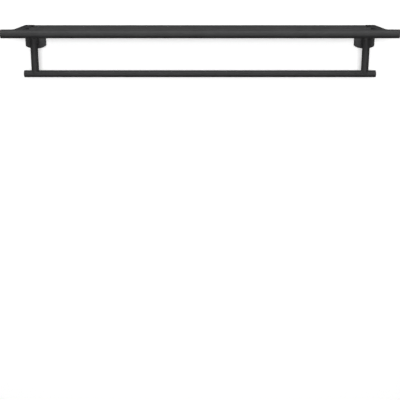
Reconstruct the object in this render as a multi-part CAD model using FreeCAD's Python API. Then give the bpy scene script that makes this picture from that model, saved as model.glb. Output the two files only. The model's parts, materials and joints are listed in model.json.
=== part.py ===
import FreeCAD, Part
import math
import os

# Wall-mounted towel shelf: a shelf of three bars above a towel rail, carried by two brackets.
# Millimetres. +Z is up, +X is to the right of a person facing the wall, and the wall is the plane
# Y = 0 with the room on its -Y side. The origin is on the wall, midway between the two brackets,
# on the row of wall screws.

V = FreeCAD.Vector
X, Y, Z = V(1, 0, 0), V(0, 1, 0), V(0, 0, 1)
SIDES = {"left": -1, "right": 1}

# Overall sizes
SHELF_WIDTH = 809.0         # over the outer faces of the two side bars
PROJECTION = 139.0          # wall to the axis of the front rail
RAIL_OVERHANG = 26.5        # front rail past each side bar
TOWEL_RAIL_DROP = 100.0     # front rail axis down to towel rail axis
TOWEL_RAIL_OVERHANG = 25.5  # towel rail past the axis of each arm
WALL_GAP = 4.0              # wall to the back of the shelf

# Bars of the shelf
FRONT_RAIL_D = 19.0
FRONT_RAIL_WALL = 1.5
ROD_D = 18.0
ROD_WALL = 1.5
MIDDLE_ROD_OUT = 69.0       # wall to the axis of the middle rod
SIDE_BAR_WIDTH = 22.0
SIDE_BAR_EDGE = 1.0         # radius of the long edges of a side bar

# Towel rail and the arms that carry it
TOWEL_RAIL_D = 16.0
TOWEL_RAIL_WALL = 1.5
ARM_D = 17.0
BRACKET_INSET = 23.5        # outer face of a side bar to the centre plane of its bracket
SADDLE_LIFT = 2.0           # towel rail axis up to the lowest point of the arm that grips it
PEG_D = 16.0
PEG_SHOWN = 7.5             # bare length of the peg between rose and arm

# Head plate that joins the arm to the side bar
HEAD_PLATE_T = 4.0
HEAD_PLATE_REACH = 18.0     # plate past the axis of the arm, towards the room
HEAD_PLATE_CORNER = 4.0

# Rose (the cover over the wall plate)
ROSE_WIDTH = 45.0
ROSE_HEIGHT = 34.0
ROSE_BOW = 7.5              # rise of the bowed top and bottom
ROSE_DEPTH = 17.0
ROSE_WALL = 2.0
ROSE_EDGE = 1.0             # radius round the front face
ROSE_GAP = 1.0              # top of the rose to the underside of the shelf

# Wall plate inside the rose
PLATE_T = 5.0
PLATE_PLAY = 2.0            # all round, between the plate and the inside of the rose
WALL_HOLE_D = 5.2
WALL_HOLE_SPACING = 26.0    # between the two wall screws of one plate

# End plugs
PLUG_FLANGE = 2.0
PLUG_DEPTH = 10.0
PLUG_EDGE = 0.5

# Screws and pins: shank diameter, head diameter, head height, hexagon across flats
M6 = {"d": 6.0, "head": 11.5, "rise": 3.3, "key": 4.0}
M5 = {"d": 5.0, "head": 9.5, "rise": 2.8, "key": 3.0}
M4 = {"d": 4.0, "head": 7.6, "rise": 2.2, "key": 2.5}
M3 = {"d": 3.0, "key": 1.5}
PEG_BOLT_BITE = 9.0         # thread of the peg bolt inside the arm
SCREW_APART = 2.5           # solid arm between the tip of its top screw and the peg bolt
SHELF_SCREW_BITE = 8.0      # thread of the shelf screws inside a side bar
SHELF_SCREW_EDGE = 6.0      # edge of the head plate to the axis of a shelf screw
INSERT_LENGTH = 14.0        # threaded insert in each end of a rod
INSERT_BITE = 10.0          # thread of the rod screw inside that insert
DOWEL_D = 8.0
DOWEL_BITE = 15.0           # dowel inside a side bar or the foot of an arm

# Clearances
THREAD_GAP = 0.05           # radial, screw in its thread
PRESS_GAP = 0.05            # radial, plug, insert or dowel in its hole
SEAT_GAP = 0.05             # between a coped end and the round bar it sits against
HOLE_GAP = 0.25             # radial, screw through a plain hole
ROSE_CLEAR = 1.0            # face of the rose to the back of the head plate
ROSE_HOLE_GAP = 0.3         # radial, peg through the rose
HEAD_GAP = 0.1              # a flush screw head in its seat
RUN_OUT = 1.0               # drilled depth past the end of a screw
OPEN_CUT = 1.0              # how far a screw seat is cut open above its head
SOCKET_SHARE = 0.6          # depth of a hexagon socket as a share of the head height

# Places worked out from those sizes
SHELF_Z = ROSE_HEIGHT / 2 + ROSE_GAP + ROD_D / 2
UNDER_SHELF_Z = SHELF_Z - ROD_D / 2
TOWEL_Z = SHELF_Z - TOWEL_RAIL_DROP
FRONT_Y = -PROJECTION
MIDDLE_Y = -MIDDLE_ROD_OUT
BACK_Y = -WALL_GAP - ROD_D / 2
ARM_Y = -ROSE_DEPTH - PEG_SHOWN - ARM_D / 2
ARM_X = SHELF_WIDTH / 2 - BRACKET_INSET
SIDE_OUTER_X = SHELF_WIDTH / 2
SIDE_INNER_X = SIDE_OUTER_X - SIDE_BAR_WIDTH
SIDE_MIDDLE_X = SIDE_OUTER_X - SIDE_BAR_WIDTH / 2
ARM_TOP_Z = UNDER_SHELF_Z - HEAD_PLATE_T
ARM_TOP_BITE = ARM_TOP_Z - M6["d"] / 2 - SCREW_APART
ARM_END_Z = TOWEL_Z + SADDLE_LIFT
FRONT_RAIL_END_X = SIDE_OUTER_X + RAIL_OVERHANG
TOWEL_RAIL_END_X = ARM_X + TOWEL_RAIL_OVERHANG
SHELF_SCREW_X = (ARM_X + ARM_D / 2 + SIDE_OUTER_X) / 2
HEAD_PLATE_BACK_Y = -ROSE_DEPTH - ROSE_CLEAR
HEAD_PLATE_FRONT_Y = ARM_Y - HEAD_PLATE_REACH
FOOT_DOWEL_TOP_Z = TOWEL_Z + TOWEL_RAIL_D / 2 + DOWEL_BITE


def cylinder(diameter, start, end):
    """A round bar between two points."""
    return Part.makeCylinder(diameter / 2, (end - start).Length, start, end - start)


def tube(diameter, wall, half_length, y, z):
    """A tube along X, centred on X = 0."""
    ends = V(-half_length, y, z), V(half_length, y, z)
    return cylinder(diameter, *ends).cut(cylinder(diameter - 2 * wall, *ends))


def box(x_range, y_range, z_range):
    low = V(min(x_range), min(y_range), min(z_range))
    high = V(max(x_range), max(y_range), max(z_range))
    size = high - low
    return Part.makeBox(size.x, size.y, size.z, low)


def edges_along(shape, direction):
    """The straight edges of a shape that run along a direction."""
    found = []
    for edge in shape.Edges:
        if len(edge.Vertexes) == 2 and edge.Curve.TypeId == "Part::GeomLine":
            run = edge.Vertexes[1].Point - edge.Vertexes[0].Point
            if abs(run.normalize().dot(direction)) > 0.999:
                found.append(edge)
    return found


def edges_at(shape, axis, value):
    """The edges of a shape that lie wholly in the plane where the axis has this value."""
    flat = []
    for edge in shape.Edges:
        bounds = edge.BoundBox
        low, high = getattr(bounds, axis + "Min"), getattr(bounds, axis + "Max")
        if abs(low - value) < 1e-3 and abs(high - value) < 1e-3:
            flat.append(edge)
    return flat


def hexagon(across_flats, start, direction, depth):
    """A hexagonal prism for a key socket, from its mouth inwards."""
    side = X if abs(direction.dot(X)) < 0.5 else Y
    turn = direction.cross(side).normalize()
    radius = across_flats / math.sqrt(3)
    points = []
    for i in range(7):
        angle = math.radians(60 * i)
        points.append(start + side * radius * math.cos(angle) + turn * radius * math.sin(angle))
    return Part.Face(Part.makePolygon(points)).extrude(direction * depth)


def flush_screw(size, head_face, direction, length):
    """A countersunk screw: its head's flat face is at head_face and it runs along direction."""
    shank = cylinder(size["d"], head_face, head_face + direction * length)
    head = Part.makeCone(size["head"] / 2, size["d"] / 2, size["rise"], head_face, direction)
    socket = hexagon(size["key"], head_face, direction, SOCKET_SHARE * size["rise"])
    return shank.fuse(head).cut(socket)


def flush_seat(size, head_face, direction):
    """The cut that a countersunk head needs, with its clearance, open to the outside."""
    grown = size["head"] / 2 + HEAD_GAP, size["d"] / 2 + HEAD_GAP
    cone = Part.makeCone(*grown, size["rise"] + HEAD_GAP, head_face, direction)
    return cone.fuse(cylinder(2 * grown[0], head_face - direction * OPEN_CUT, head_face))


def button_screw(size, seat, direction, length):
    """A round-headed screw: the head's underside is at seat and the shank runs along direction."""
    shank = cylinder(size["d"], seat, seat + direction * length)
    head = cylinder(size["head"], seat - direction * size["rise"], seat)
    socket = hexagon(size["key"], seat - direction * size["rise"], direction,
                     SOCKET_SHARE * size["rise"])
    return shank.fuse(head).cut(socket)


def plain_hole(size, start, end):
    return cylinder(size["d"] + 2 * HOLE_GAP, start, end)


def tapped_hole(size, start, end):
    return cylinder(size["d"] + 2 * THREAD_GAP, start, end)


def barrel(x, width, height, bow, y, depth):
    """A plate with straight sides and bowed top and bottom, from y out into the room."""
    half, corner = width / 2, height / 2 - bow
    edges = []
    for up in (1, -1):
        centre = V(x, y, up * corner)
        arch = Part.Ellipse(centre + X * half, centre + Z * up * bow, centre)
        edges.append(Part.Edge(arch, 0, math.pi))
    for side in (1, -1):
        at = x + side * half
        edges.append(Part.makeLine(V(at, y, -corner), V(at, y, corner)))
    outline = Part.Wire(Part.__sortEdges__(edges))
    return Part.Face(outline).extrude(Y * -depth)


# --- The shelf -----------------------------------------------------------------------------------

def front_rail():
    """The round front rail, drilled at the back for a dowel behind each side bar."""
    rail = tube(FRONT_RAIL_D, FRONT_RAIL_WALL, FRONT_RAIL_END_X - PLUG_FLANGE, FRONT_Y, SHELF_Z)
    for side in SIDES.values():
        x = side * SIDE_MIDDLE_X
        rail = rail.cut(cylinder(DOWEL_D + 2 * PRESS_GAP, V(x, FRONT_Y, SHELF_Z),
                                 V(x, FRONT_Y + FRONT_RAIL_D, SHELF_Z)))
    return rail


def end_plug(side, diameter, wall, end_x, y, z):
    """A plug with a thin flange as wide as the tube, pushed into the tube's end."""
    flange_x = end_x - PLUG_FLANGE
    flange = cylinder(diameter, V(side * flange_x, y, z), V(side * end_x, y, z))
    flange = flange.makeFillet(PLUG_EDGE, edges_at(flange, "X", side * end_x))
    spigot_d = diameter - 2 * wall - 2 * PRESS_GAP
    return flange.fuse(cylinder(spigot_d, V(side * (flange_x - PLUG_DEPTH), y, z),
                                V(side * flange_x, y, z)))


def rod(y):
    """A tube between the inner faces of the side bars."""
    return tube(ROD_D, ROD_WALL, SIDE_INNER_X, y, SHELF_Z)


def rod_insert(side, y):
    """The threaded insert inside the end of a rod."""
    ends = V(side * (SIDE_INNER_X - INSERT_LENGTH), y, SHELF_Z), V(side * SIDE_INNER_X, y, SHELF_Z)
    return cylinder(ROD_D - 2 * ROD_WALL - 2 * PRESS_GAP, *ends).cut(tapped_hole(M5, *ends))


def rod_screw(side, y):
    """The screw from the outer face of a side bar into the insert of a rod."""
    return flush_screw(M5, V(side * SIDE_OUTER_X, y, SHELF_Z), X * -side,
                       SIDE_BAR_WIDTH + INSERT_BITE)


def side_bar(side):
    """The flat bar at one end of the shelf, from near the wall to the front rail."""
    bar = box((side * SIDE_INNER_X, side * SIDE_OUTER_X), (-WALL_GAP, FRONT_Y),
              (UNDER_SHELF_Z, UNDER_SHELF_Z + ROD_D))
    bar = bar.makeFillet(SIDE_BAR_EDGE, edges_along(bar, Y))
    far = 2 * FRONT_RAIL_END_X
    bar = bar.cut(cylinder(FRONT_RAIL_D + 2 * SEAT_GAP, V(-far, FRONT_Y, SHELF_Z),
                           V(far, FRONT_Y, SHELF_Z)))
    dowel_end = FRONT_Y + FRONT_RAIL_D / 2 + DOWEL_BITE + RUN_OUT
    bar = bar.cut(cylinder(DOWEL_D + 2 * PRESS_GAP, V(side * SIDE_MIDDLE_X, FRONT_Y, SHELF_Z),
                           V(side * SIDE_MIDDLE_X, dowel_end, SHELF_Z)))
    for y in (BACK_Y, MIDDLE_Y):
        outer, inner = V(side * SIDE_OUTER_X, y, SHELF_Z), V(side * SIDE_INNER_X, y, SHELF_Z)
        bar = bar.cut(plain_hole(M5, outer, inner)).cut(flush_seat(M5, outer, X * -side))
    for seat in shelf_screw_seats(side):
        top = V(seat.x, seat.y, UNDER_SHELF_Z + SHELF_SCREW_BITE + RUN_OUT)
        bar = bar.cut(tapped_hole(M4, V(seat.x, seat.y, UNDER_SHELF_Z), top))
    return bar


def rail_dowel(side):
    """The dowel that holds a side bar against the front rail."""
    x = side * SIDE_MIDDLE_X
    return cylinder(DOWEL_D, V(x, FRONT_Y, SHELF_Z),
                    V(x, FRONT_Y + FRONT_RAIL_D / 2 + DOWEL_BITE, SHELF_Z))


# --- The brackets --------------------------------------------------------------------------------

def shelf_screw_seats(side):
    """Where the heads of one side's shelf screws bear, under the head plate."""
    return [V(side * SHELF_SCREW_X, y, ARM_TOP_Z)
            for y in (HEAD_PLATE_FRONT_Y + SHELF_SCREW_EDGE, HEAD_PLATE_BACK_Y - SHELF_SCREW_EDGE)]


def head_plate(side):
    """The plate on top of an arm, under the side bar."""
    x_range = side * (ARM_X - ARM_D / 2), side * SIDE_OUTER_X
    plate = box(x_range, (HEAD_PLATE_FRONT_Y, HEAD_PLATE_BACK_Y), (ARM_TOP_Z, UNDER_SHELF_Z))
    plate = plate.makeFillet(HEAD_PLATE_CORNER, edges_along(plate, Z))
    top = V(side * ARM_X, ARM_Y, UNDER_SHELF_Z)
    plate = plate.cut(plain_hole(M5, top, top - Z * HEAD_PLATE_T)).cut(flush_seat(M5, top, -Z))
    for seat in shelf_screw_seats(side):
        plate = plate.cut(plain_hole(M4, seat, seat + Z * HEAD_PLATE_T))
    return plate


def arm(side):
    """The upright round bar from the head plate down to the towel rail, coped over the rail."""
    x = side * ARM_X
    bar = cylinder(ARM_D, V(x, ARM_Y, ARM_END_Z), V(x, ARM_Y, ARM_TOP_Z))
    bar = bar.cut(cylinder(TOWEL_RAIL_D + 2 * SEAT_GAP, V(x - ARM_D, ARM_Y, TOWEL_Z),
                           V(x + ARM_D, ARM_Y, TOWEL_Z)))
    bar = bar.cut(cylinder(DOWEL_D + 2 * PRESS_GAP, V(x, ARM_Y, TOWEL_Z),
                           V(x, ARM_Y, FOOT_DOWEL_TOP_Z + RUN_OUT)))
    top_depth = ARM_TOP_Z - ARM_TOP_BITE - RUN_OUT
    bar = bar.cut(tapped_hole(M5, V(x, ARM_Y, ARM_TOP_Z), V(x, ARM_Y, top_depth)))
    back = ARM_Y + ARM_D / 2
    return bar.cut(tapped_hole(M6, V(x, back, 0), V(x, back - PEG_BOLT_BITE - RUN_OUT, 0)))


def arm_screw(side):
    """The screw that holds the head plate on the arm."""
    return flush_screw(M5, V(side * ARM_X, ARM_Y, UNDER_SHELF_Z), -Z,
                       HEAD_PLATE_T + ARM_TOP_BITE)


def shelf_screws(side):
    """The screws that hold the side bar on the head plate."""
    return [button_screw(M4, seat, Z, HEAD_PLATE_T + SHELF_SCREW_BITE)
            for seat in shelf_screw_seats(side)]


def peg(side):
    """The level round bar that holds the arm off the wall plate, coped against the arm."""
    x = side * ARM_X
    bar = cylinder(PEG_D, V(x, -PLATE_T, 0), V(x, ARM_Y, 0))
    bar = bar.cut(cylinder(ARM_D + 2 * SEAT_GAP, V(x, ARM_Y, -PEG_D), V(x, ARM_Y, PEG_D)))
    return bar.cut(plain_hole(M6, V(x, 0, 0), V(x, ARM_Y, 0)))


def peg_bolt(side):
    """The bolt from the back of the wall plate, through the peg and into the arm."""
    return flush_screw(M6, V(side * ARM_X, 0, 0), -Y,
                       -ARM_Y - ARM_D / 2 + PEG_BOLT_BITE)


def wall_plate(side):
    """The plate that is screwed to the wall."""
    inset = 2 * (ROSE_WALL + PLATE_PLAY)
    x = side * ARM_X
    plate = barrel(x, ROSE_WIDTH - inset, ROSE_HEIGHT - inset, ROSE_BOW, 0, PLATE_T)
    for way in (-1, 1):
        at = x + way * WALL_HOLE_SPACING / 2
        plate = plate.cut(cylinder(WALL_HOLE_D, V(at, 0, 0), V(at, -PLATE_T, 0)))
    centre = V(x, 0, 0)
    return plate.cut(plain_hole(M6, centre, V(x, -PLATE_T, 0))).cut(flush_seat(M6, centre, -Y))


def rose(side):
    """The hollow cover over the wall plate."""
    x = side * ARM_X
    outside = barrel(x, ROSE_WIDTH, ROSE_HEIGHT, ROSE_BOW, 0, ROSE_DEPTH)
    outside = outside.makeFillet(ROSE_EDGE, edges_at(outside, "Y", -ROSE_DEPTH))
    inside = barrel(x, ROSE_WIDTH - 2 * ROSE_WALL, ROSE_HEIGHT - 2 * ROSE_WALL, ROSE_BOW,
                    0, ROSE_DEPTH - ROSE_WALL)
    shell = outside.cut(inside)
    shell = shell.cut(cylinder(PEG_D + 2 * ROSE_HOLE_GAP, V(x, 0, 0), V(x, -ROSE_DEPTH, 0)))
    return shell.cut(tapped_hole(M3, V(x, -PLATE_T / 2, -ROSE_HEIGHT / 2), grub_tip(side)))


def grub_tip(side):
    """Where the grub screw bears on the lower edge of the wall plate."""
    return V(side * ARM_X, -PLATE_T / 2, -ROSE_HEIGHT / 2 + ROSE_WALL + PLATE_PLAY)


def grub_screw(side):
    """The headless screw under the rose that holds it on the wall plate."""
    tip = grub_tip(side)
    length = ROSE_WALL + PLATE_PLAY - HOLE_GAP
    screw = cylinder(M3["d"], tip - Z * length, tip)
    return screw.cut(hexagon(M3["key"], tip - Z * length, Z, ROSE_WALL))


# --- The towel rail ------------------------------------------------------------------------------

def towel_rail():
    """The round towel rail, drilled from above for the dowel in the foot of each arm."""
    rail = tube(TOWEL_RAIL_D, TOWEL_RAIL_WALL, TOWEL_RAIL_END_X - PLUG_FLANGE, ARM_Y, TOWEL_Z)
    for side in SIDES.values():
        x = side * ARM_X
        rail = rail.cut(cylinder(DOWEL_D + 2 * PRESS_GAP, V(x, ARM_Y, TOWEL_Z),
                                 V(x, ARM_Y, TOWEL_Z + TOWEL_RAIL_D)))
    return rail


def foot_dowel(side):
    """The dowel that holds the towel rail on the foot of an arm."""
    x = side * ARM_X
    return cylinder(DOWEL_D, V(x, ARM_Y, TOWEL_Z), V(x, ARM_Y, FOOT_DOWEL_TOP_Z))


# --- Putting them in files -----------------------------------------------------------------------

def both(make, *more):
    """The same small piece on both sides, as one group of separate solids."""
    return Part.makeCompound([make(side, *m) for side in SIDES.values() for m in (more or ((),))])


nodes = {
    "front_rail": front_rail(),
    "middle_rod": rod(MIDDLE_Y),
    "back_rod": rod(BACK_Y),
    "rod_inserts": both(rod_insert, (MIDDLE_Y,), (BACK_Y,)),
    "rod_screws": both(rod_screw, (MIDDLE_Y,), (BACK_Y,)),
    "rail_dowels": both(rail_dowel),
    "arm_screws": both(arm_screw),
    "shelf_screws": Part.makeCompound([s for side in SIDES.values() for s in shelf_screws(side)]),
    "peg_bolts": both(peg_bolt),
    "rose_grub_screws": both(grub_screw),
    "towel_rail": towel_rail(),
    "foot_dowels": both(foot_dowel),
}
for name, side in SIDES.items():
    nodes["side_bar_" + name] = side_bar(side)
    nodes["head_plate_" + name] = head_plate(side)
    nodes["arm_" + name] = arm(side)
    nodes["peg_" + name] = peg(side)
    nodes["wall_plate_" + name] = wall_plate(side)
    nodes["rose_" + name] = rose(side)
    nodes["front_rail_plug_" + name] = end_plug(
        side, FRONT_RAIL_D, FRONT_RAIL_WALL, FRONT_RAIL_END_X, FRONT_Y, SHELF_Z)
    nodes["towel_rail_plug_" + name] = end_plug(
        side, TOWEL_RAIL_D, TOWEL_RAIL_WALL, TOWEL_RAIL_END_X, ARM_Y, TOWEL_Z)

os.makedirs("parts", exist_ok=True)
for name, shape in nodes.items():
    shape = shape.removeSplitter() if len(shape.Solids) == 1 else shape
    if not shape.isValid() or not shape.Solids:
        raise RuntimeError(name + " is not a valid solid")
    shape.exportStep("parts/" + name + ".step")
    print(f"{name:24s} solids {len(shape.Solids)}  volume {shape.Volume / 1000:9.3f} cm3")
print("nodes", len(nodes))
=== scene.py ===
# %% [markdown]
# # A wall-mounted towel shelf
#
# The object is a shelf of three round bars with a towel rail under it, held off the wall by two
# small brackets. Its metal is black powder coat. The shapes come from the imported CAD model, which
# is loaded as a fixed frame: every tube, plate and screw already stands at its real place, in
# metres. This lesson gives those parts their finishes, adds the weld beads that only matter to the
# eye, and sets up a studio: a wall, a floor, soft light and a camera.

# %% Load the frame
import bpy
import json
import math
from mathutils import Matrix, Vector


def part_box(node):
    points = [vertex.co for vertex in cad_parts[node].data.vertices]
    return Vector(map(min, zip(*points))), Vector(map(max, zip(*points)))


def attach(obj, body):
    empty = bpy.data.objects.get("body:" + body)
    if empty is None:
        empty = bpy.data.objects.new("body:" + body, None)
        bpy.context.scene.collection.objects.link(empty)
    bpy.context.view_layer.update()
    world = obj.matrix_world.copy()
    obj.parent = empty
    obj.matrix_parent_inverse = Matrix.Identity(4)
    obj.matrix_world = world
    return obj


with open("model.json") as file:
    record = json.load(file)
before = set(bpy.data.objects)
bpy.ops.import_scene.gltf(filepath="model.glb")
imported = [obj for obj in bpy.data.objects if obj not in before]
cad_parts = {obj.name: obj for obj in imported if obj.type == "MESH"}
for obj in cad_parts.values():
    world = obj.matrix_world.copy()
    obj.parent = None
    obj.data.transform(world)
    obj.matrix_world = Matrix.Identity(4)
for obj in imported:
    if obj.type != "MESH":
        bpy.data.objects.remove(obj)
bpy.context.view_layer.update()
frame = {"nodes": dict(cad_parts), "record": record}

# %% [markdown]
# ## Building a material from nodes
#
# A material is a small network of nodes. Writing each network out by hand is long, so this class
# keeps short helpers: `node` adds a node, `wire` joins an output to an input, and the rest make the
# few patterns that metal finishes need. Patterns read the object's own coordinates. Those are
# metres here, because every part sits at the origin with its place in its mesh, so a noise of scale
# 1000 has grains about one millimetre across on every part alike, and no part needs a UV map.

# %% Helpers for materials
class Finish:
    """One material, with short ways to add and join its nodes."""

    def __init__(self, name):
        self.material = bpy.data.materials.new(name)
        self.material.use_nodes = True
        self.tree = self.material.node_tree
        self.shader = self.tree.nodes["Principled BSDF"]
        self.place = self.node("ShaderNodeTexCoord").outputs["Object"]

    def node(self, kind, **values):
        made = self.tree.nodes.new(kind)
        for key, value in values.items():
            setattr(made, key, value)
        return made

    def wire(self, output, target):
        self.tree.links.new(output, target)

    def set(self, **values):
        """Sets values that are the same all over, on the shader itself."""
        for key, value in values.items():
            self.shader.inputs[key.replace("_", " ")].default_value = value

    def noise(self, scale, detail=2.0, rough=0.5, stretch=None):
        """Soft random grain. stretch squeezes it along the axes, to make it into streaks."""
        made = self.node("ShaderNodeTexNoise")
        made.inputs["Scale"].default_value = scale
        made.inputs["Detail"].default_value = detail
        made.inputs["Roughness"].default_value = rough
        place = self.place
        if stretch:
            mapping = self.node("ShaderNodeMapping")
            mapping.inputs["Scale"].default_value = stretch
            self.wire(place, mapping.inputs["Vector"])
            place = mapping.outputs["Vector"]
        self.wire(place, made.inputs["Vector"])
        return made.outputs["Fac"]

    def span(self, value, low, high, to_low, to_high):
        """Turns the range low..high of a value into to_low..to_high."""
        made = self.node("ShaderNodeMapRange")
        for key, number in zip(("From Min", "From Max", "To Min", "To Max"),
                               (low, high, to_low, to_high)):
            made.inputs[key].default_value = number
        self.wire(value, made.inputs["Value"])
        return made.outputs["Result"]

    def maths(self, operation, a, b):
        made = self.node("ShaderNodeMath", operation=operation)
        self.wire(a, made.inputs[0])
        self.wire(b, made.inputs[1])
        return made.outputs["Value"]

    def blend(self, share, a, b):
        """A colour between a and b, which are colours or outputs."""
        made = self.node("ShaderNodeMix", data_type="RGBA")
        self.wire(share, made.inputs["Factor"])
        for slot, value in ((made.inputs[6], a), (made.inputs[7], b)):
            if isinstance(value, tuple):
                slot.default_value = (*value, 1.0)
            else:
                self.wire(value, slot)
        return made.outputs[2]

    def bump(self, height, depth, under=None):
        """Raises the surface by a height of 0..1, depth metres tall."""
        made = self.node("ShaderNodeBump")
        made.inputs["Strength"].default_value = 1.0
        made.inputs["Distance"].default_value = depth
        self.wire(height, made.inputs["Height"])
        if under is not None:
            self.wire(under, made.inputs["Normal"])
        return made.outputs["Normal"]

    def soft_edges(self, radius):
        """A normal that rounds every sharp edge, as a coat does when it flows over it."""
        made = self.node("ShaderNodeBevel", samples=4)
        made.inputs["Radius"].default_value = radius
        return made.outputs["Normal"]


print("material helpers ready")

# %% [markdown]
# ## Powder coat
#
# Powder coat is sprayed on as dust and melted in an oven. It never flows quite flat: it keeps an
# orange-peel swell a couple of millimetres across, with a much finer grain on top. Both are far too
# small to model as mesh, so they are bump. The melted coat also rounds every sharp edge, which the
# Bevel node shows without touching the mesh. Where the coat is a little thicker it is a little
# greyer and duller, so one slow noise drives both. Fine dust lies on faces that look up, and the
# surface normal tells us which those are. The gloss is low, so the specular level is set low too.

# %% Powder coat
BLACK = (0.026, 0.026, 0.0267)
BLACK_THICK = (0.032, 0.032, 0.0328)
DUST = (0.12, 0.118, 0.113)


def powder_coat():
    coat = Finish("satin_black_powder_coat")
    film = coat.span(coat.noise(38, 4, 0.6), 0.3, 0.7, 0.0, 1.0)
    up = coat.node("ShaderNodeSeparateXYZ")
    coat.wire(coat.node("ShaderNodeNewGeometry").outputs["Normal"], up.inputs[0])
    facing_up = coat.span(up.outputs["Z"], 0.55, 1.0, 0.0, 1.0)
    specks = coat.span(coat.noise(700, 5, 0.7), 0.54, 0.72, 0.0, 0.16)
    dust = coat.maths("MULTIPLY", facing_up, specks)
    colour = coat.blend(film, BLACK, BLACK_THICK)
    coat.wire(coat.blend(dust, colour, DUST), coat.shader.inputs["Base Color"])
    gloss = coat.span(film, 0.0, 1.0, 0.49, 0.57)
    coat.wire(coat.maths("ADD", gloss, dust), coat.shader.inputs["Roughness"])
    swell = coat.bump(coat.noise(420, 2), 0.00016, coat.soft_edges(0.0004))
    coat.wire(coat.bump(coat.noise(2600, 3, 0.6), 0.00009, swell), coat.shader.inputs["Normal"])
    coat.set(Specular_IOR_Level=0.15)
    return coat.material


POWDER_COAT = powder_coat()
print("made", POWDER_COAT.name)

# %% [markdown]
# ## Zinc plate
#
# The wall plates, dowels and inserts are bright zinc-plated steel. Zinc crystals give it faint
# clouds of lighter and bluer grey, and the rolling of the sheet leaves fine lines. The clouds drive
# the colour and the roughness together, and a noise squeezed along one axis makes the lines.

# %% Zinc plate
def zinc_plate():
    zinc = Finish("bright_zinc_plate")
    clouds = zinc.noise(240, 5, 0.65)
    zinc.wire(zinc.blend(zinc.span(clouds, 0.35, 0.65, 0.0, 1.0), (0.52, 0.53, 0.55),
                         (0.66, 0.66, 0.64)), zinc.shader.inputs["Base Color"])
    zinc.wire(zinc.span(clouds, 0.3, 0.7, 0.26, 0.42), zinc.shader.inputs["Roughness"])
    rolled = zinc.noise(900, 2, 0.5, (1.0, 1.0, 0.06))
    zinc.wire(zinc.bump(rolled, 0.000006, zinc.soft_edges(0.0003)), zinc.shader.inputs["Normal"])
    zinc.set(Metallic=1.0)
    return zinc.material


ZINC_PLATE = zinc_plate()
print("made", ZINC_PLATE.name)

# %% [markdown]
# ## Blackened steel
#
# The screws are black oxide: steel that was blackened in a hot bath and oiled. It isn't a paint, so
# it still reflects like metal, and the oil lies unevenly. A noise of about 3 mm shifts its colour
# and gloss, and a fine one pits it.

# %% Blackened steel
def blackened_steel():
    steel = Finish("blackened_steel")
    oil = steel.noise(300, 4, 0.6)
    steel.wire(steel.blend(steel.span(oil, 0.35, 0.65, 0.0, 1.0), (0.030, 0.030, 0.033),
                           (0.055, 0.054, 0.052)), steel.shader.inputs["Base Color"])
    steel.wire(steel.span(oil, 0.3, 0.7, 0.3, 0.46), steel.shader.inputs["Roughness"])
    pits = steel.bump(steel.noise(3200, 2), 0.000006, steel.soft_edges(0.0002))
    steel.wire(pits, steel.shader.inputs["Normal"])
    steel.set(Metallic=0.6)
    return steel.material


BLACKENED_STEEL = blackened_steel()
print("made", BLACKENED_STEEL.name)

# %% [markdown]
# ## Moulded plastic
#
# The end plugs are moulded plastic. The mould was spark-eroded, which leaves an even, fine, matte
# grain with no direction. It is a touch duller than the coat beside it.

# %% Moulded plastic
def moulded_plastic():
    plastic = Finish("moulded_black_plastic")
    spark = plastic.noise(1500, 3, 0.6)
    plastic.wire(plastic.blend(plastic.noise(60, 3), (0.024, 0.024, 0.025),
                               (0.031, 0.031, 0.032)), plastic.shader.inputs["Base Color"])
    plastic.wire(plastic.span(spark, 0.3, 0.7, 0.52, 0.64), plastic.shader.inputs["Roughness"])
    grain = plastic.bump(spark, 0.000012, plastic.soft_edges(0.0003))
    plastic.wire(grain, plastic.shader.inputs["Normal"])
    plastic.set(Specular_IOR_Level=0.2)
    return plastic.material


MOULDED_PLASTIC = moulded_plastic()
print("made", MOULDED_PLASTIC.name)

# %% [markdown]
# ## Give every part its finish
#
# The record that comes with the frame names a material slot for each part, such as
# `black_powder_coat`. One dictionary turns those slots into our materials, so no part is forgotten
# and nothing is chosen twice.

# %% Finish every part by its slot
FINISHES = {
    "black_powder_coat": POWDER_COAT,
    "zinc_plated_steel": ZINC_PLATE,
    "blackened_steel": BLACKENED_STEEL,
    "black_plastic": MOULDED_PLASTIC,
}
for row in frame["record"]["subparts"]:
    part = frame["nodes"][row["node"]]
    part.data.materials.clear()
    part.data.materials.append(FINISHES[row["material_slot"]])

# %% [markdown]
# ## Weld beads
#
# A side bar meets the front rail, and the foot of an arm meets the towel rail, in a coped seat with
# a bead of weld run round it before the coat goes on. A bead isn't an even ring: it is a row of
# small overlapping puddles, which show as soft ripples through the coat. It could be a bevelled
# curve, but a curve's thickness can't ripple easily, so this cell writes the mesh: it walks round
# the seam, puts a ring of points at each step and lets the ring's radius rise and fall.

# %% Bead helper
BEAD_RADIUS = 0.0008
PUDDLE = 0.0012          # length of one ripple
STEPS_PER_PUDDLE = 4
RIPPLE = 0.14            # how far the radius rises and falls, as a share
RING = 8                 # points round the bead
BEADS = []


def even_steps(corners, step):
    """Points at even distances round a closed line."""
    line = corners + corners[:1]
    runs = [(a, b, (b - a).length) for a, b in zip(line, line[1:])]
    total = sum(length for _, _, length in runs)
    count = STEPS_PER_PUDDLE * round(total / step / STEPS_PER_PUDDLE)
    points, passed, run = [], 0.0, 0
    for i in range(count):
        at = total * i / count
        while at > passed + runs[run][2]:
            passed += runs[run][2]
            run += 1
        a, b, length = runs[run]
        points.append(a.lerp(b, (at - passed) / length))
    return points


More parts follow.
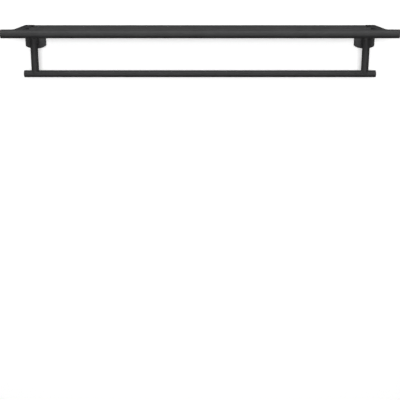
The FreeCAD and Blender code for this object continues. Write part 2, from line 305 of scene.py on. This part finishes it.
def weld_bead(name, seam, across):
    """A rippled bead along a closed seam. across is a direction never in line with the seam."""
    points = even_steps(seam, PUDDLE / STEPS_PER_PUDDLE)
    verts, faces, count = [], [], len(points)
    for i, point in enumerate(points):
        ahead = (points[(i + 1) % count] - points[i - 1]).normalized()
        side = ahead.cross(across).normalized()
        up = side.cross(ahead)
        radius = BEAD_RADIUS * (1 + RIPPLE * math.sin(2 * math.pi * i / STEPS_PER_PUDDLE))
        for k in range(RING):
            angle = 2 * math.pi * k / RING
            verts.append(point + (side * math.cos(angle) + up * math.sin(angle)) * radius)
        for k in range(RING):
            j, m = (i + 1) % count, (k + 1) % RING
            faces.append((i * RING + k, i * RING + m, j * RING + m, j * RING + k))
    mesh = bpy.data.meshes.new(name)
    mesh.from_pydata(verts, [], faces)
    mesh.shade_smooth()
    bead = bpy.data.objects.new(name, mesh)
    bpy.context.scene.collection.objects.link(bead)
    bead.data.materials.append(POWDER_COAT)
    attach(bead, "root")
    BEADS.append(bead)
    print(name, "steps:", count)


# %% [markdown]
# The seams come from the parts' own boxes. A side bar's end is a rectangle wrapped on the round
# rail, so its outline bends with the rail. An arm's foot is a circle dropped on the towel rail, and
# where the arm is wider than the rail its end is flat instead.

# %% Beads on the side bars and the arms
BAR_END_STEPS = 12       # points up each edge of a side bar's end
FOOT_STEPS = 48          # points round an arm's foot


def middle_and_radius(node, axis_a, axis_b):
    """The middle of a round bar's box, and its radius, seen along the third axis."""
    low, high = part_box(node)
    middle = (low + high) / 2
    return middle, min(getattr(high, axis_a) - getattr(low, axis_a),
                       getattr(high, axis_b) - getattr(low, axis_b)) / 2


front_rail, front_radius = middle_and_radius("front_rail", "y", "z")
towel_rail, towel_radius = middle_and_radius("towel_rail", "y", "z")


def on_front_rail(x, z):
    """The point of the front rail's back at this x and height."""
    return Vector((x, front_rail.y + math.sqrt(front_radius ** 2 - (z - front_rail.z) ** 2), z))


for side in ("left", "right"):
    low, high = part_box("side_bar_" + side)
    heights = [low.z + (high.z - low.z) * i / BAR_END_STEPS for i in range(BAR_END_STEPS + 1)]
    seam = [on_front_rail(high.x, z) for z in heights]
    seam += [on_front_rail(low.x, z) for z in reversed(heights)]
    weld_bead("side_bar_weld_" + side, seam, Vector((0, 1, 0)))

    arm, arm_radius = middle_and_radius("arm_" + side, "x", "y")
    foot_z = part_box("arm_" + side)[0].z
    seam = []
    for i in range(FOOT_STEPS):
        angle = 2 * math.pi * i / FOOT_STEPS
        out = arm_radius * math.sin(angle)
        on_rail = math.sqrt(max(towel_radius ** 2 - out ** 2, 0))
        seam.append(Vector((arm.x + arm_radius * math.cos(angle), arm.y + out,
                            max(towel_rail.z + on_rail, foot_z))))
    weld_bead("arm_foot_weld_" + side, seam, Vector((0, 0, 1)))

# %% [markdown]
# ## The studio
#
# The shelf hangs on a wall, so the studio has one, with a floor well below. The wall is one-sided:
# seen from behind it is clear, so that a camera behind it still sees the shelf's back. It stands a
# hair behind the wall plates, so that two faces never lie in the same place. The wall doesn't show
# in reflections, because a white wall mirrored in the shelf's level faces would turn them grey.
# The floor glows a little, and adds no light to the shelf.

# %% Wall and floor
FLOOR_Z = -1.35
WALL_Y = 0.0006
WALL_TOP = 1.6
WALL_HALF = 3.0
FLOOR_HALF = 8.0
WALL_GLOW = 0.41
FLOOR_GLOW = 0.7
PAINT_SHADE = 0.985      # the darker patches of the paint, as a share of its colour
STUDIO = bpy.data.collections.new("studio")


def pale_paint(name, colour, glow):
    """Matt paint with a faint unevenness. glow is light of its own."""
    paint = Finish(name)
    paint.wire(paint.blend(paint.noise(3, 3), colour, tuple(c * PAINT_SHADE for c in colour)),
               paint.shader.inputs["Base Color"])
    paint.set(Roughness=0.9, Specular_IOR_Level=0.1, Emission_Strength=glow)
    paint.shader.inputs["Emission Color"].default_value = (1.0, 1.0, 1.0, 1.0)
    return paint


def clear_from_behind(paint):
    """Lets a camera behind the paint see through it."""
    clear = paint.node("ShaderNodeBsdfTransparent")
    mix = paint.node("ShaderNodeMixShader")
    behind = paint.node("ShaderNodeNewGeometry").outputs["Backfacing"]
    paint.wire(behind, mix.inputs["Fac"])
    paint.wire(paint.shader.outputs["BSDF"], mix.inputs[1])
    paint.wire(clear.outputs["BSDF"], mix.inputs[2])
    paint.wire(mix.outputs["Shader"], paint.tree.nodes["Material Output"].inputs["Surface"])


def plane(name, corners, paint):
    mesh = bpy.data.meshes.new(name)
    mesh.from_pydata(corners, [], [(0, 1, 2, 3)])
    made = bpy.data.objects.new(name, mesh)
    bpy.context.scene.collection.objects.link(made)
    STUDIO.objects.link(made)
    made.data.materials.append(paint.material)
    made.visible_glossy = False
    return made


wall_paint = pale_paint("wall_paint", (0.93, 0.93, 0.93), WALL_GLOW)
clear_from_behind(wall_paint)
wall = plane("studio_wall", [(-WALL_HALF, WALL_Y, FLOOR_Z), (WALL_HALF, WALL_Y, FLOOR_Z),
                             (WALL_HALF, WALL_Y, WALL_TOP), (-WALL_HALF, WALL_Y, WALL_TOP)],
             wall_paint)
floor = plane("studio_floor", [(x * FLOOR_HALF, y * FLOOR_HALF, FLOOR_Z)
                               for x, y in ((-1, -1), (1, -1), (1, 1), (-1, 1))],
              pale_paint("floor_paint", (0.8, 0.8, 0.79), FLOOR_GLOW))
floor.visible_diffuse = False
wall.visible_shadow = False
print("wall and floor up")

# %% [markdown]
# ## The light
#
# Two big softboxes overhead draw the long soft highlight down the top of each bar, one from low in
# front keeps the undersides from going black, and two small ones at the sides catch the round arms.
# They light only the shelf. The wall has a light of its own, nearly level with the shelf, which
# puts a thin soft shadow just under each bar. Light linking makes that split: a lamp's receiver
# collection holds what it lights, and everything still casts its shadows. One lamp stands behind
# the wall, which lets light through, and lights only what faces the wall: the wall plates, the
# bolts and the backs of the wall covers.

# %% Softboxes
SHELF = bpy.data.collections.new("shelf")
for part in [*frame["nodes"].values(), *BEADS]:
    SHELF.objects.link(part)
BACKS = bpy.data.collections.new("wall_side_parts")
for name in ("rose_left", "rose_right", "wall_plate_left", "wall_plate_right", "peg_bolts"):
    BACKS.objects.link(frame["nodes"][name])


def softbox(name, place, aim, size, power, lights):
    """A rectangular lamp at place, turned towards aim, that lights only one collection."""
    lamp = bpy.data.lights.new(name, "AREA")
    lamp.shape = "RECTANGLE"
    lamp.size, lamp.size_y = size
    lamp.energy = power
    made = bpy.data.objects.new(name, lamp)
    bpy.context.scene.collection.objects.link(made)
    made.location = place
    made.rotation_euler = (Vector(aim) - Vector(place)).to_track_quat("-Z", "Y").to_euler()
    made.light_linking.receiver_collection = lights
    print(name, "power:", power, "W")


softbox("overhead_softbox", (0.0, -1.1, 1.9), (0, 0, 0), (3.2, 0.8), 45, SHELF)
softbox("upper_softbox", (0.0, -1.7, 1.7), (0, 0, 0), (3.2, 0.8), 37, SHELF)
softbox("low_softbox", (0.0, -2.6, -0.5), (0, 0, 0), (2.4, 0.6), 44, SHELF)
for side in (-1, 1):
    softbox("side_softbox", (2.3 * side, -1.9, 0.5), (0.3 * side, 0, 0), (0.9, 1.6), 5, SHELF)
softbox("low_wall_light", (0.0, -5.0, 0.48), (0, 0, 0), (2.6, 0.74), 155, STUDIO)
softbox("high_wall_light", (0.0, -2.4, 1.0), (0, 0, 0), (2.4, 1.2), 17, STUDIO)
softbox("back_softbox", (0.0, 2.2, 1.0), (0, 0, 0), (2.4, 1.2), 90, BACKS)

# %% [markdown]
# ## The air around
#
# The world is white where a camera sees it. It adds no light, so the softboxes alone shape the bars.

# %% World
AIR_STRENGTH = 0.9
world = bpy.data.worlds.new("studio_air")
bpy.context.scene.world = world
world.use_nodes = True
air = world.node_tree.nodes["Background"]
air.inputs["Color"].default_value = (1, 1, 1, 1)
air.inputs["Strength"].default_value = AIR_STRENGTH
world.cycles_visibility.diffuse = False
world.cycles_visibility.glossy = False
bpy.context.scene.view_settings.view_transform = "Standard"
print("world set")

# %% [markdown]
# ## The camera
#
# The camera stands straight in front, a little above the shelf, and looks down by about 16 degrees,
# which puts the shelf high in the frame. A long lens keeps the two ends from spreading. Its height
# is taken from the front rail, so it stays right if the shelf's own height changes.

# %% Camera
CAMERA_OUT = 1.961
CAMERA_ABOVE_RAIL = 0.1576
CAMERA_PITCH = math.radians(16.26)
LENS = 74.7
SENSOR_WIDTH = 36

camera_data = bpy.data.cameras.new("camera")
camera_data.lens = LENS
camera_data.sensor_width = SENSOR_WIDTH
camera = bpy.data.objects.new("camera", camera_data)
bpy.context.scene.collection.objects.link(camera)
camera.location = (0, -CAMERA_OUT, front_rail.z + CAMERA_ABOVE_RAIL)
camera.rotation_euler = (math.pi / 2 - CAMERA_PITCH, 0, 0)
bpy.context.scene.camera = camera
print("camera", [round(v, 4) for v in camera.location])
